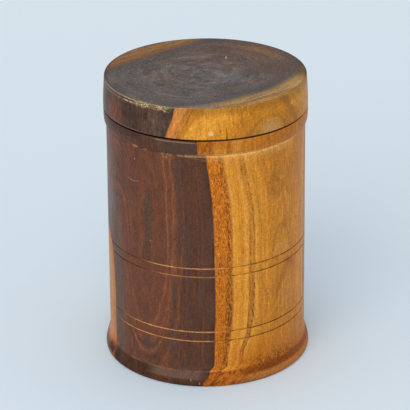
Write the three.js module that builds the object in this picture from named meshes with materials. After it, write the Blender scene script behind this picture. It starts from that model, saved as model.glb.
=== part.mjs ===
import * as THREE from 'three';

// A turned wooden jar with a foot, two pairs of cut rings and a collar, and its lid, which
// drops into the mouth on a spigot. Millimetres, +Z up. The origin is the centre of the foot,
// on the surface that the jar stands on. Every outline is drawn as radius and height, and is
// turned about the upright axis, as on the lathe.

// Jar, outside
const jarHeight = 131.9;
const wallRadius = 50.05;
const wallSwell = 0.2; // fuller just above the foot
const wallTaper = 0.35; // slimmer just below the collar

// Foot
const footFlare = 2.4; // how far the foot stands out past the wall
const footHeight = 11; // up to where the flare has run out into the wall
const footLipHeight = 1.5; // the upright edge under the flare
const footEdgeRound = 1;
const standRingWidth = 11; // the flat that touches the table
const footHollowDepth = 1.2;

// Rings cut into the wall, in two pairs
const lowerPairHeight = 26.85;
const lowerPairSpacing = 5.1;
const upperPairHeight = 61.85;
const upperPairSpacing = 4.5;
const ringWidth = 0.9;
const ringDepth = 0.5;

// Collar round the mouth
const collarHeight = 7.7;
const collarStep = 0.35; // its lower edge, out past the wall
const collarProud = 1.25; // its fullest line, out past the wall
const collarRoundHeight = 4.8; // the quarter round from the lower edge to the fullest line
const creaseHeight = 0.4; // the fine cut under the collar
const creaseDepth = 0.3;
const rimRound = 0.5;

// Jar, inside
const rimWidth = 7; // from the fullest line of the collar in to the mouth
const mouthDepth = 10;
const mouthRound = 0.6;
const cavityWall = 7;
const floorThickness = 10;
const floorCornerRadius = 8;
const floorDish = 0.8; // lower in the middle

// Lid
const lidHeight = 16.2;
const lidProud = 0; // out past the collar
const lidTaper = 0.75; // slimmer at the top edge than low on the side
const lidBandHeight = 1.8; // the upright band above its lower edge
const lidEdgeRound = 0.6;
const lidArrisRound = 0.5; // along the joint with the collar
const spigotDepth = 8;
const spigotClearance = 0.45;
const spigotChamfer = 1;
const spigotDish = 1.5;
const seatGap = 0.3; // between the lid's shoulder and the rim

// Fineness of the turned surfaces
const facets = 72;
const curveSteps = 4;
const wallSteps = 4;

// Sizes that follow
const wallTop = jarHeight - collarHeight;
const creaseBottom = wallTop - creaseHeight;
const footRadius = wallRadius + wallSwell + footFlare;
const collarRadius = wallRadiusAt(wallTop) + collarProud;
const mouthRadius = collarRadius - rimWidth;
const cavityRadius = wallRadius - cavityWall;
const lidRadius = collarRadius + lidProud;
const spigotRadius = mouthRadius - spigotClearance;

function wallRadiusAt(height) {
  const climb = (height - footHeight) / (jarHeight - collarHeight - footHeight);
  return wallRadius + wallSwell * (1 - climb) ** 2 - wallTaper * climb ** 2;
}

function drawPlainWall(outline, from, to) {
  for (let step = 1; step <= wallSteps; step += 1) {
    const height = from + ((to - from) * step) / wallSteps;
    outline.lineTo(wallRadiusAt(height), height);
  }
}

function drawRing(outline, height) {
  const lower = height - ringWidth / 2;
  const upper = height + ringWidth / 2;
  outline.lineTo(wallRadiusAt(lower), lower);
  outline.lineTo(wallRadiusAt(height) - ringDepth, height);
  outline.lineTo(wallRadiusAt(upper), upper);
}

function drawRingPair(outline, height, spacing) {
  drawRing(outline, height - spacing / 2);
  drawRing(outline, height + spacing / 2);
}

function drawFoot(outline) {
  const standRingRadius = footRadius - footEdgeRound - standRingWidth;
  const flareTop = wallRadiusAt(footHeight);
  const lipLean = footFlare / 8;
  outline.moveTo(0, footHollowDepth);
  outline.quadraticCurveTo(standRingRadius / 2, footHollowDepth, standRingRadius, 0);
  outline.lineTo(footRadius - footEdgeRound, 0);
  outline.quadraticCurveTo(footRadius, 0, footRadius, footLipHeight);
  outline.bezierCurveTo(
    footRadius - lipLean, (2 * footLipHeight + footHeight) / 3,
    flareTop, (footLipHeight + footHeight) / 2,
    flareTop, footHeight,
  );
}

function drawCollar(outline) {
  const wallTopRadius = wallRadiusAt(wallTop);
  const lowerEdge = wallTopRadius + collarStep;
  outline.lineTo(wallTopRadius - creaseDepth, wallTop);
  outline.lineTo(lowerEdge, wallTop + creaseHeight / 2);
  outline.quadraticCurveTo(
    collarRadius, wallTop + creaseHeight / 2,
    collarRadius, wallTop + collarRoundHeight,
  );
  outline.lineTo(collarRadius, jarHeight - rimRound);
  outline.quadraticCurveTo(collarRadius, jarHeight, collarRadius - rimRound, jarHeight);
}

function drawInside(outline) {
  const mouthBottom = jarHeight - mouthDepth;
  const ledge = Math.abs(mouthRadius - cavityRadius);
  outline.lineTo(mouthRadius + mouthRound, jarHeight);
  outline.quadraticCurveTo(mouthRadius, jarHeight, mouthRadius, jarHeight - mouthRound);
  outline.lineTo(mouthRadius, mouthBottom);
  outline.lineTo(cavityRadius, mouthBottom - ledge);
  outline.lineTo(cavityRadius, floorThickness + floorCornerRadius);
  outline.absarc(
    cavityRadius - floorCornerRadius, floorThickness + floorCornerRadius,
    floorCornerRadius, 0, -Math.PI / 2, true,
  );
  outline.quadraticCurveTo(
    (cavityRadius - floorCornerRadius) / 2, floorThickness - floorDish,
    0, floorThickness - floorDish,
  );
}

function jarOutline() {
  const outline = new THREE.Path();
  drawFoot(outline);
  drawRingPair(outline, lowerPairHeight, lowerPairSpacing);
  drawRingPair(outline, upperPairHeight, upperPairSpacing);
  drawPlainWall(outline, upperPairHeight + upperPairSpacing / 2 + ringWidth / 2, creaseBottom);
  drawCollar(outline);
  drawInside(outline);
  return outline;
}

// The lid is drawn with its shoulder at height 0, so that the spigot hangs below it.
function lidOutline() {
  const topRadius = lidRadius - lidTaper;
  const sideTop = lidHeight - lidEdgeRound;
  const outline = new THREE.Path();
  outline.moveTo(0, spigotDish - spigotDepth);
  outline.quadraticCurveTo(
    (spigotRadius - spigotChamfer) / 2, spigotDish - spigotDepth,
    spigotRadius - spigotChamfer, -spigotDepth,
  );
  outline.lineTo(spigotRadius, spigotChamfer - spigotDepth);
  outline.lineTo(spigotRadius, 0);
  outline.lineTo(lidRadius - lidArrisRound, 0);
  outline.quadraticCurveTo(lidRadius, 0, lidRadius, lidArrisRound);
  outline.lineTo(lidRadius, lidBandHeight);
  outline.quadraticCurveTo(lidRadius, (2 * lidBandHeight + sideTop) / 3, topRadius, sideTop);
  outline.quadraticCurveTo(topRadius, lidHeight, topRadius - lidEdgeRound, lidHeight);
  outline.lineTo(0, lidHeight);
  return outline;
}

function turn(name, outline, wood) {
  const piece = new THREE.Mesh(new THREE.LatheGeometry(outline.getPoints(curveSteps), facets), wood);
  piece.name = name;
  piece.rotation.x = Math.PI / 2;
  return piece;
}

const darkHeartwood = new THREE.MeshStandardMaterial({ color: 0x6e4a35, roughness: 0.42, metalness: 0 });
const goldenSapwood = new THREE.MeshStandardMaterial({ color: 0xb07a3a, roughness: 0.45, metalness: 0 });

const jar = turn('jar', jarOutline(), darkHeartwood);
const lid = turn('lid', lidOutline(), goldenSapwood);
lid.position.z = jarHeight + seatGap;

const lidded = new THREE.Group();
lidded.add(jar, lid);

export default lidded;
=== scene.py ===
# %% [markdown]
# A turned wooden jar with its lid.
# The real one is two pieces of one log, turned on a lathe: a jar with a flared foot, two pairs
# of cut rings and a collar, and a flat lid that drops into the mouth. Nearly everything that
# the eye enjoys is the wood itself, dark heartwood beside golden sapwood. So the shapes are
# quick to make here, and most of the cells are about the figure of the wood.

# %% Load the frame
import math

import bmesh
import bpy
from mathutils import Matrix, Vector, noise
from mathutils.geometry import interpolate_bezier


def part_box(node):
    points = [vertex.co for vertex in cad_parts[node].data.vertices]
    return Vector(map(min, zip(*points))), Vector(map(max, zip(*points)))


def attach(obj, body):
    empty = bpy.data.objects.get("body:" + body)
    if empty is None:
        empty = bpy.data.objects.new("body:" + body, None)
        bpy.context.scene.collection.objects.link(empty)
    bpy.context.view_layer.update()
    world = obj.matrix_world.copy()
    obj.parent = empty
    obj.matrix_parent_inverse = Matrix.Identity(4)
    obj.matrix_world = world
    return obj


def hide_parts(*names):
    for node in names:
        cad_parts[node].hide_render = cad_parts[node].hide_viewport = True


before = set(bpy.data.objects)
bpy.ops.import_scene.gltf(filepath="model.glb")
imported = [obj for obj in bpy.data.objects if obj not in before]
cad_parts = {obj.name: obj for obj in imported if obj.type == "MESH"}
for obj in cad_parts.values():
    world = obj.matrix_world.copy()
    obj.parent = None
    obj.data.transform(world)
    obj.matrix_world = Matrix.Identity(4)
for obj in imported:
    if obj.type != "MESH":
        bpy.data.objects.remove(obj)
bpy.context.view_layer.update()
MM = 0.001
_, jar_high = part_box("jar")
lid_low, lid_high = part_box("lid")
rim_height = jar_high.z / MM
foot_radius = jar_high.x / MM
lid_top = lid_high.z / MM
collar_radius = lid_high.x / MM
spigot_bottom = lid_low.z / MM
print(f"jar {rim_height:.1f} mm high on a foot {2 * foot_radius:.1f} mm across")
print(f"lid {2 * collar_radius:.1f} mm across, its top at {lid_top:.1f} mm")

# %% [markdown]
# The camera looks down on the jar a little from the front, from about a metre away. It could
# be placed by eye, but the round edges of lid, collar and foot tell its place exactly: only
# one height, distance and lens draw all these ellipses as the photograph does.

# %% Camera
photo_width = 410
sensor_width = 36
focal_pixels = 2103.8
camera_place = Vector((-0.0007, -0.978, 0.51015))
camera_dip = math.radians(23.922)
camera_roll = math.radians(-0.455)

camera_data = bpy.data.cameras.new("camera")
camera_data.sensor_width = sensor_width
camera_data.lens = sensor_width * focal_pixels / photo_width
camera_data.clip_start = 0.01
camera = bpy.data.objects.new("camera", camera_data)
tilt = Matrix.Rotation(math.pi / 2 - camera_dip, 4, "X") @ Matrix.Rotation(camera_roll, 4, "Z")
camera.matrix_world = Matrix.Translation(camera_place) @ tilt
bpy.context.collection.objects.link(camera)
bpy.context.scene.camera = camera
print(f"camera with a {camera_data.lens:.0f} mm lens, {camera_place.length:.2f} m from the foot")

# %% [markdown]
# The light is that of a pale room: it comes from all sides, a little more from the front left,
# where it is large and soft enough that the jar's shadow has no edge. One broad lamp does that,
# and an even pale world does the rest. Both are weak enough that a colour looks as it is
# written.

# %% Light
scene = bpy.context.scene
scene.view_settings.view_transform = "Standard"

world = bpy.data.worlds.new("pale_room")
world.use_nodes = True
background = world.node_tree.nodes["Background"]
background.inputs["Color"].default_value = (0.965, 0.975, 0.985, 1)
background.inputs["Strength"].default_value = 0.78
scene.world = world

window_turn = math.radians(-18)
window_climb = math.radians(44)
window_distance = 1.5
window_data = bpy.data.lights.new("window", "AREA")
window_data.shape = "SQUARE"
window_data.size = 1
window_data.energy = 9
window_data.color = (1, 0.965, 0.91)
window = bpy.data.objects.new("window", window_data)
window_side = Vector((math.sin(window_turn), -math.cos(window_turn), math.tan(window_climb)))
window.location = window_side.normalized() * window_distance
window.rotation_euler = window_side.to_track_quat("Z", "Y").to_euler()
bpy.context.collection.objects.link(window)
print(f"a {window_data.size:.1f} m window at {window_distance} m, and a pale room")

# %% [markdown]
# A lathe makes everything round, so each piece is drawn as half an outline, radius against
# height, and spun about the upright axis. Stacked cylinders could stand in for it, but an
# outline keeps the curves that a gouge leaves: the flare of the foot, the rings and the
# eased edges. Lengths are in millimetres until the outline is spun.

# %% Outline helpers
class Outline:
    """Half the outline of a turned piece: points of radius and height, drawn one after another."""

    def __init__(self, start):
        self.points = [start]

    def straight(self, end, spacing=3):
        """A line to end, in steps no longer than the spacing."""
        start = self.points[-1]
        steps = max(1, math.ceil(math.dist(start, end) / spacing))
        for step in range(1, steps + 1):
            self.points.append(tuple(Vector(start).lerp(Vector(end), step / steps)))

    def sweep(self, first_pull, second_pull, end, steps=8):
        """A curve to end, drawn out by two pulls."""
        pulled = [Vector(point) for point in (self.points[-1], first_pull, second_pull, end)]
        self.points += [tuple(point) for point in interpolate_bezier(*pulled, steps + 1)[1:]]

    def eased(self, corner, end, steps=6):
        """A rounded corner, then end."""
        start, corner, end = Vector(self.points[-1]), Vector(corner), Vector(end)
        self.sweep(start.lerp(corner, 0.6), end.lerp(corner, 0.6), end, steps)


# %% Wall
wall_radius = 50.05
wall_swell = 0.2
wall_taper = 0.35
foot_height = 11
collar_height = 7.7
wall_top = rim_height - collar_height


def wall_at(height):
    """Radius of the plain wall: a little fuller above the foot and slimmer under the collar."""
    climb = (height - foot_height) / (wall_top - foot_height)
    return wall_radius + wall_swell * (1 - climb) ** 2 - wall_taper * climb ** 2


print(f"wall {2 * wall_at(foot_height):.1f} mm across above the foot")
print(f"and {2 * wall_at(wall_top):.1f} mm under the collar")

# %% [markdown]
# The foot stands on a flat ring and is hollowed underneath, so that the jar doesn't rock. Its
# side flares out in a long cove. Where the cove meets the wall the turner left a fine step,
# which catches the light as a thin line.

# %% Foot
stand_width = 11
foot_edge = 1
foot_lip = 1.5
hollow_depth = 1.2
step_height = 7.9
step_depth = 0.16
step_inset = 1.48


def draw_foot():
    stand = foot_radius - foot_edge - stand_width
    step = foot_radius - step_inset
    above_step = step - step_depth
    wall = wall_at(foot_height)
    shape = Outline((0, hollow_depth))
    shape.sweep((stand / 3, hollow_depth), (stand * 0.7, hollow_depth), (stand, 0))
    shape.straight((foot_radius - foot_edge, 0))
    shape.eased((foot_radius, 0), (foot_radius, foot_lip))
    shape.sweep((foot_radius - 0.2, 3.8), (step + 0.35, 6.2), (step, step_height - 0.2))
    shape.points += [(above_step, step_height), (above_step - 0.05, step_height + 0.2)]
    shape.sweep((step - 0.6, 9), (wall, 10), (wall, foot_height))
    return shape


jar_shape = draw_foot()

# %% [markdown]
# Each ring is one touch of a pointed tool: a V half a millimetre deep, with shoulders that
# years of handling have rounded. Each profile point says how far it lies above the middle, in
# half widths, and how deep it is.

# %% Rings
ring_heights = (24.3, 29.4, 59.6, 64.1)
ring_width = 0.9
ring_depth = 0.5
ring_profile = (
    (-1.5, 0), (-1.15, 0.03), (-0.85, 0.12), (0, 1), (0.85, 0.12), (1.15, 0.03), (1.5, 0))


def draw_ring(shape, height):
    half = ring_width / 2
    heights = [height + rise * half for rise, _ in ring_profile]
    ring = [(wall_at(place) - depth * ring_depth, place)
            for place, (_, depth) in zip(heights, ring_profile)]
    shape.straight(ring[0])
    shape.points += ring[1:]


for ring_height in ring_heights:
    draw_ring(jar_shape, ring_height)

# %% [markdown]
# The collar is a low quarter round above a fine cut, and the wall's top edge just below it is
# worn round, where the wood gets a painted pale highlight. Inside it comes the flat rim, the
# mouth for the lid's spigot, and the bored cavity with its rounded floor.

# %% Collar
collar_step = 0.35
collar_round = 4.8
cut_height = 0.4
cut_depth = 0.3
worn_edge = 0.35
rim_edge = 0.5


def draw_collar(shape):
    cut_bottom = wall_top - cut_height
    cut_top = wall_top + cut_height / 2
    worn = cut_bottom - worn_edge
    wall = wall_at(wall_top)
    shape.straight((wall_at(worn), worn))
    shape.eased((wall, cut_bottom), (wall - cut_depth, cut_bottom + cut_height * 0.8))
    shape.straight((wall + collar_step, cut_top))
    shape.eased((collar_radius, cut_top), (collar_radius, wall_top + collar_round), 10)
    shape.straight((collar_radius, rim_height - rim_edge))
    shape.eased((collar_radius, rim_height), (collar_radius - rim_edge, rim_height))


draw_collar(jar_shape)

# %% Cavity
rim_width = 7
mouth_depth = 10
mouth_edge = 0.6
cavity_radius = 43.05
floor_height = 10
floor_corner = 8
floor_dish = 0.8
quarter_round = 0.4477
mouth_radius = collar_radius - rim_width


def draw_cavity(shape):
    mouth_bottom = rim_height - mouth_depth
    shape.straight((mouth_radius + mouth_edge, rim_height))
    shape.eased((mouth_radius, rim_height), (mouth_radius, rim_height - mouth_edge))
    shape.straight((mouth_radius, mouth_bottom))
    shape.straight((cavity_radius, mouth_bottom - (mouth_radius - cavity_radius)))
    shape.straight((cavity_radius, floor_height + floor_corner))
    inner = cavity_radius - floor_corner
    pull = floor_corner * quarter_round
    dished = floor_height - floor_dish
    shape.sweep((cavity_radius, floor_height + pull), (inner + floor_corner - pull, floor_height),
                (inner, floor_height), 10)
    shape.sweep((inner * 0.6, dished), (inner * 0.3, dished), (0, dished), 12)


draw_cavity(jar_shape)
print(f"jar outline of {len(jar_shape.points)} points")

# %% [markdown]
# The lid is a disc with a slightly barrelled side and a spigot below. Its top is dead flat,
# with the small dent of the lathe's centre in the middle.

# %% Lid outline
seat_gap = 0.3
lid_taper = 0.75
lid_band = 1.8
lid_edge = 0.6
lid_arris = 0.5
spigot_clearance = 0.45
spigot_chamfer = 1
spigot_dish = 1.5
dent_radius = 0.7
dent_depth = 0.25


def draw_lid():
    seat = rim_height + seat_gap
    side_top = lid_top - lid_edge
    top = collar_radius - lid_taper
    spigot = mouth_radius - spigot_clearance
    chamfer = spigot - spigot_chamfer
    dish = spigot_bottom + spigot_dish
    dent = lid_top - dent_depth
    shape = Outline((0, dish))
    shape.sweep((chamfer * 0.35, dish), (chamfer * 0.7, dish), (chamfer, spigot_bottom), 14)
    shape.straight((spigot, spigot_bottom + spigot_chamfer))
    shape.straight((spigot, seat))
    shape.straight((collar_radius - lid_arris, seat))
    shape.eased((collar_radius, seat), (collar_radius, seat + lid_arris))
    shape.straight((collar_radius, seat + lid_band), 1)
    shape.eased((collar_radius, (2 * (seat + lid_band) + side_top) / 3), (top, side_top), 12)
    shape.eased((top, lid_top), (top - lid_edge, lid_top))
    shape.straight((dent_radius, lid_top))
    shape.eased((dent_radius * 0.5, dent), (0, dent), 4)
    return shape


lid_shape = draw_lid()
print(f"lid outline of {len(lid_shape.points)} points")

# %% [markdown]
# Spinning the outline closes the piece by itself, as long as both ends lie on the axis. Hand
# turned wood also moves as it dries, so a slow noise shifts the surface by a few hundredths
# of a millimetre, too little to see except in how the edges catch the light.

# %% Spin
spin_steps = 240
drying = 0.07
drying_length = 28


def finished(work, name):
    """A mesh object of a bmesh that is done with."""
    mesh = bpy.data.meshes.new(name)
    work.to_mesh(mesh)
    work.free()
    piece = bpy.data.objects.new(name, mesh)
    bpy.context.collection.objects.link(piece)
    return piece


def turn_on_lathe(name, outline):
    """A closed round mesh object, in metres, from half an outline in millimetres."""
    work = bmesh.new()
    dots = [work.verts.new((radius, 0, height)) for radius, height in outline.points]
    edges = [work.edges.new(pair) for pair in zip(dots, dots[1:])]
    bmesh.ops.spin(work, geom=dots + edges, cent=(0, 0, 0), axis=(0, 0, 1), angle=2 * math.pi,
                   steps=spin_steps, use_merge=True)
    bmesh.ops.remove_doubles(work, verts=work.verts, dist=0.0005)
    bmesh.ops.recalc_face_normals(work, faces=work.faces)
    for dot in work.verts:
        outward = Vector((dot.co.x, dot.co.y, 0))
        if outward.length > 1 and dot.co.z > 0.001:
            dot.co += outward.normalized() * drying * noise.noise(dot.co / drying_length)
    bmesh.ops.scale(work, vec=(MM, MM, MM), verts=work.verts)
    piece = finished(work, name)
    piece.data.shade_smooth()
    print(f"{name}: {len(piece.data.polygons)} faces")
    return piece


turned_jar = turn_on_lathe("turned_jar", jar_shape)
turned_lid = turn_on_lathe("turned_lid", lid_shape)

# %% [markdown]
# The lid has one drying crack, which a turner calls a check. It starts at the joint and runs
# up the side for six millimetres. A dark line in the material would vanish from close by, so
# a thin jagged blade is subtracted from the lid instead.

# %% Check in the lid
check_turn = math.radians(11.1)
check_bottom = 131.5
check_top = 138.6
check_width = 0.34
check_depth = 4
check_cuts = 7


def check_blade():
    """A thin upright blade that narrows as it climbs, a little jagged."""
    work = bmesh.new()
    bmesh.ops.create_cube(work, size=1)
    upright = [edge for edge in work.edges if abs(edge.verts[0].co.z - edge.verts[1].co.z) > 0.5]
    bmesh.ops.subdivide_edges(work, edges=upright, cuts=check_cuts, use_grid_fill=True)
    for dot in work.verts:
        climb = dot.co.z + 0.5
        jag = 0.35 * noise.noise(Vector((3.1, 0, climb * 4)))
        dot.co.x = dot.co.x * check_width * (1 - 0.8 * climb) + jag + 0.25 * climb
        dot.co.y *= check_depth
        dot.co.z = check_bottom + climb * (check_top - check_bottom)
    bmesh.ops.translate(work, vec=(0, -collar_radius, 0), verts=work.verts)
    turn = Matrix.Rotation(check_turn, 3, "Z")
    bmesh.ops.rotate(work, cent=(0, 0, 0), matrix=turn, verts=work.verts)
    bmesh.ops.scale(work, vec=(MM, MM, MM), verts=work.verts)
    bmesh.ops.recalc_face_normals(work, faces=work.faces)
    return finished(work, "check_blade")


blade = check_blade()
cut = turned_lid.modifiers.new("check", "BOOLEAN")
cut.operation = "DIFFERENCE"
cut.solver = "EXACT"
cut.object = blade
view = bpy.context.evaluated_depsgraph_get()
cut_mesh = bpy.data.meshes.new_from_object(turned_lid.evaluated_get(view))
turned_lid.modifiers.clear()
turned_lid.data = cut_mesh
bpy.data.objects.remove(blade)
print(f"lid with its check: {len(cut_mesh.polygons)} faces")

# %% [markdown]
# Edges that a turner leaves crisp would look puffed up if the shading ran smoothly round
# them, so the mesh is marked sharp wherever two faces meet at more than 40 degrees.

# %% Crisp edges
crisp_angle = math.radians(40)
for piece in (turned_jar, turned_lid):
    piece.data.set_sharp_from_angle(angle=crisp_angle)

# %% [markdown]
# Now the wood. A picture wrapped round the jar would fall apart at the rim and in the cavity,
# where a real log goes on. So the figure is worked out as a solid: at each point of the wood
# the material asks how far it lies from the pith, how high it is, and on which side, and
# turns the answers into colour. Blender's Math nodes do the sums, and the little class below
# lets them be written as ordinary arithmetic.

# %% Sums in a material
def total(readings):
    """All of some readings added up."""
    readings = iter(readings)
    whole = next(readings)
    for reading in readings:
        whole = whole + reading
    return whole


def feed(place, value):
    """Links a worked out value to a node's input, or writes a plain one there."""
    if isinstance(value, (Reading, Stain)):
        place.id_data.links.new(value.socket, place)
    else:
        place.default_value = value


class Reading:
    """A number that the material works out anew at each point of the wood."""

    def __init__(self, socket):
        self.socket = socket

    def do(self, operation, *others):
        node = self.socket.id_data.nodes.new("ShaderNodeMath")
        node.operation = operation
        for place, value in zip(node.inputs, (self, *others)):
            feed(place, value)
        return Reading(node.outputs["Value"])

    def __add__(self, other):
        return self.do("ADD", other)

    def __sub__(self, other):
        return self.do("SUBTRACT", other)

    def __mul__(self, other):
        return self.do("MULTIPLY", other)

    def __truediv__(self, other):
        return self.do("DIVIDE", other)

    def __abs__(self):
        return self.do("ABSOLUTE")

    def most(self, other):
        return self.do("MAXIMUM", other)

    def rest(self):
        """What is left to 1."""
        return self * -1 + 1

    def rise(self, low, high):
        """Goes softly from 0 at low to 1 at high, or from 1 to 0 where low is the larger."""
        node = self.socket.id_data.nodes.new("ShaderNodeMapRange")
        node.interpolation_type = "SMOOTHSTEP"
        feed(node.inputs["Value"], self)
        feed(node.inputs["From Min"], low)
        feed(node.inputs["From Max"], high)
        return Reading(node.outputs["Result"])

    def near(self, middle, reach):
        """Is 1 at middle and fades to 0 at a reach to either side."""
        return abs(self - middle).rise(reach, reach * 0.25)

    def between(self, low, high, soft):
        """Is 1 from low to high and fades to 0 within a soft edge outside them."""
        return self.rise(low - soft, low) * self.rise(high + soft, high)

    def lines(self, *rows):
        """Soft lines across this value, added up: for each its place, reach and strength."""
        return total(self.near(place, reach) * strength for place, reach, strength in rows)

    def strip(self, shades):
        """A colour ramp along this value."""
        start, end = shades[0][0], shades[-1][0]
        node = self.socket.id_data.nodes.new("ShaderNodeValToRGB")
        stops = node.color_ramp.elements
        while len(stops) < len(shades):
            stops.new(0.5)
        for stop, (place, tint) in zip(stops, shades):
            stop.position = (place - start) / (end - start)
            stop.color = (*tint, 1)
        feed(node.inputs["Fac"], (self - start) / (end - start))
        return node.outputs["Color"]

    def follow(self, stops):
        """A value that changes with this one as the stops say, smoothly between them."""
        start, end = stops[0][0], stops[-1][0]
        low = min(value for _, value in stops)
        span = max(value for _, value in stops) - low
        node = self.socket.id_data.nodes.new("ShaderNodeFloatCurve")
        node.mapping.extend = "HORIZONTAL"
        points = node.mapping.curves[0].points
        while len(points) < len(stops):
            points.new(0.5, 0.5)
        for point, (place, value) in zip(points, stops):
            point.location = ((place - start) / (end - start), (value - low) / span)
        node.mapping.update()
        feed(node.inputs["Value"], (self - start) / (end - start))
        return Reading(node.outputs["Value"]) * span + low


# %% [markdown]
# Colours are written as they look on a screen, from 0 to 255, because that is how one reads
# them off real wood. Blender wants them in linear light, so each is converted on the way in.

# %% Stains
def shade(red, green, blue):
    """A screen colour in Blender's linear light."""
    parts = [level / 255 for level in (red, green, blue)]
    return tuple(part / 12.92 if part < 0.04045 else ((part + 0.055) / 1.055) ** 2.4
                 for part in parts)


class Stain:
    """A colour that the material works out at each point of the wood, coat after coat."""

    def __init__(self, socket):
        self.socket = socket

    def toward(self, other, amount):
        """A mix of this colour with another, which is all there is where the amount is 1."""
        node = self.socket.id_data.nodes.new("ShaderNodeMix")
        node.data_type = "RGBA"
        node.clamp_factor = True
        feed(node.inputs["Factor"], amount)
        feed(node.inputs["A"], self)
        feed(node.inputs["B"], other)
        return Stain(node.outputs["Result"])

    def lit(self, amount):
        """This colour made lighter or darker by a factor."""
        node = self.socket.id_data.nodes.new("ShaderNodeHueSaturation")
        feed(node.inputs["Color"], self)
        feed(node.inputs["Value"], amount)
        return Stain(node.outputs["Color"])

    def wipe(self, levels, amount):
        """Wipes a screen colour over this one, which it hides where the amount is 1."""
        self.socket = self.toward((*shade(*levels), 1), amount).socket

    def light(self, amount):
        """Changes this colour itself, as lit does."""
        self.socket = self.lit(amount).socket


def stained(reading, shades):
    """Colours along a value."""
    return Stain(reading.strip([(place, shade(*tint)) for place, tint in shades]))


# %% [markdown]
# Two more helpers. The first gives the place of a point in millimetres, read from Object
# coordinates, so that the figure stays in the wood when the lid is lifted. Its skin is the
# outside, where marks of use are. The second is the noise that everything irregular comes
# from.

# %% Place and noise
skin_reach = (48.2, 48.6)


class Place:
    """Where a point of the wood lies: x, y, z, how far out, which way round and how it faces."""

    def __init__(self, tree):
        self.tree = tree
        coordinates = tree.nodes.new("ShaderNodeTexCoord")
        self.whole = coordinates.outputs["Object"]
        mapping = tree.nodes.new("ShaderNodeMapping")
        mapping.inputs["Scale"].default_value = (1 / MM,) * 3
        tree.links.new(self.whole, mapping.inputs["Vector"])
        split = tree.nodes.new("ShaderNodeSeparateXYZ")
        tree.links.new(mapping.outputs["Vector"], split.inputs["Vector"])
        self.x, self.y, self.z = (Reading(split.outputs[name]) for name in "XYZ")
        self.out = (self.x * self.x + self.y * self.y).do("SQRT")
        self.side = self.x.do("ARCTAN2", self.y * -1) * math.degrees(1)
        self.east = self.x / self.out
        self.north = self.y / self.out
        facing = tree.nodes.new("ShaderNodeSeparateXYZ")
        tree.links.new(coordinates.outputs["Normal"], facing.inputs["Vector"])
        self.flat = abs(Reading(facing.outputs["Z"])).rise(0.75, 0.95)
        self.skin = self.out.rise(*skin_reach)

    def from_middle(self, x, y):
        """Distance from an upright line through x, y, such as the pith."""
        east, north = self.x - x, self.y - y
        return (east * east + north * north).do("SQRT")

    def spot(self, side, height, wide, high):
        """A soft oval on the outside, so many degrees and millimetres from middle to edge."""
        across = (self.side - side) / wide
        upward = (self.z - height) / high
        return (across * across + upward * upward).rise(1, 0.15) * self.skin

    def spots(self, *rows):
        """Such ovals added up, each with its strength."""
        return total(self.spot(*row) * strength for *row, strength in rows)

    def noise(self, wide, high, detail=2, roughness=0.5, lean=0, start=0):
        """Noise from 0 to 1 in lumps so many mm wide and high, leaning left as they climb.

        It reads the coordinates straight through one Mapping node. A material has room for
        only so many values at once, and this way many of these noises fit into one.
        """
        mapping = self.tree.nodes.new("ShaderNodeMapping")
        mapping.vector_type = "TEXTURE"
        mapping.inputs["Location"].default_value = (start * MM, 0, 0)
        mapping.inputs["Rotation"].default_value = (0, -lean, 0)
        mapping.inputs["Scale"].default_value = (wide * MM, wide * MM, high * MM)
        self.tree.links.new(self.whole, mapping.inputs["Vector"])
        node = noise_node(self.tree, detail, roughness)
        self.tree.links.new(mapping.outputs["Vector"], node.inputs["Vector"])
        return Reading(node.outputs["Fac"])


def noise_node(tree, detail, roughness):
    node = tree.nodes.new("ShaderNodeTexNoise")
    node.inputs["Scale"].default_value = 1
    node.inputs["Detail"].default_value = detail
    node.inputs["Roughness"].default_value = roughness
    return node


def ripple(value, detail=3, roughness=0.6):
    """Noise from 0 to 1 along one value, one wave for each unit of it."""
    node = noise_node(value.socket.id_data, detail, roughness)
    node.noise_dimensions = "1D"
    feed(node.inputs["W"], value)
    return Reading(node.outputs["Fac"])


def speckle(x, y, z, detail=2, roughness=0.5):
    """Noise from 0 to 1, about 0.5 on average, one lump for each unit of x, y and z."""
    tree = x.socket.id_data
    join = tree.nodes.new("ShaderNodeCombineXYZ")
    for place, value in zip(join.inputs, (x, y, z)):
        feed(place, value)
    node = noise_node(tree, detail, roughness)
    tree.links.new(join.outputs["Vector"], node.inputs["Vector"])
    return Reading(node.outputs["Fac"])


def start_wood(name):
    """A new material, its nodes and its surface node."""
    wood = bpy.data.materials.new(name)
    wood.use_nodes = True
    return wood, wood.node_tree, wood.node_tree.nodes["Principled BSDF"]


# %% [markdown]
# The sapwood at the front right. Year rings are circles about the pith, and the boundary of
# the heartwood follows one of them, so one number orders the whole golden side: how far a
# point lies outside that ring. On the real jar the boundary leans, left at the collar, right
# at mid height and left again at the foot, and the dark streak behind it does too.

# %% Front sapwood
ring_middle = (-18.5, 14.5)
ring_reach = 67.1
edge_by_height = (
    (0, 1.8), (4, 1.88), (7, 1.57), (9.5, 1.08), (15, 1.12), (30, 1.16), (40, 1.23), (52, 1.16),
    (65, 1.07), (80, 0.93), (90, 0.76), (100, 0.53), (110, 0.18), (118, -0.12), (124.1, -0.3),
    (124.4, -0.9), (125, -0.62), (126, -0.45), (129, -0.3), (132, -0.3))
streak_by_height = (
    (0, 2.6), (5, 2.75), (10, 3.05), (15, 3.05), (20, 3.22), (25, 3.5), (32, 3.65), (44, 3.67),
    (60, 3.75), (88, 3.93), (106, 3.9), (132, 3.85))


def front_sap(place):
    """Depth into the sapwood in mm, and the same with the dark streak at 1."""
    sway = (place.noise(16, 34) - 0.5) * 0.3
    fray = (place.noise(0.9, 4, 3, 0.6) - 0.5) * 0.3
    smear = (place.noise(0.8, 20, 3, 0.7) - 0.5) * 0.16
    depth = place.from_middle(*ring_middle) - ring_reach - place.z.follow(edge_by_height)
    return depth + fray, (depth + sway + smear) / place.z.follow(streak_by_height)


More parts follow.
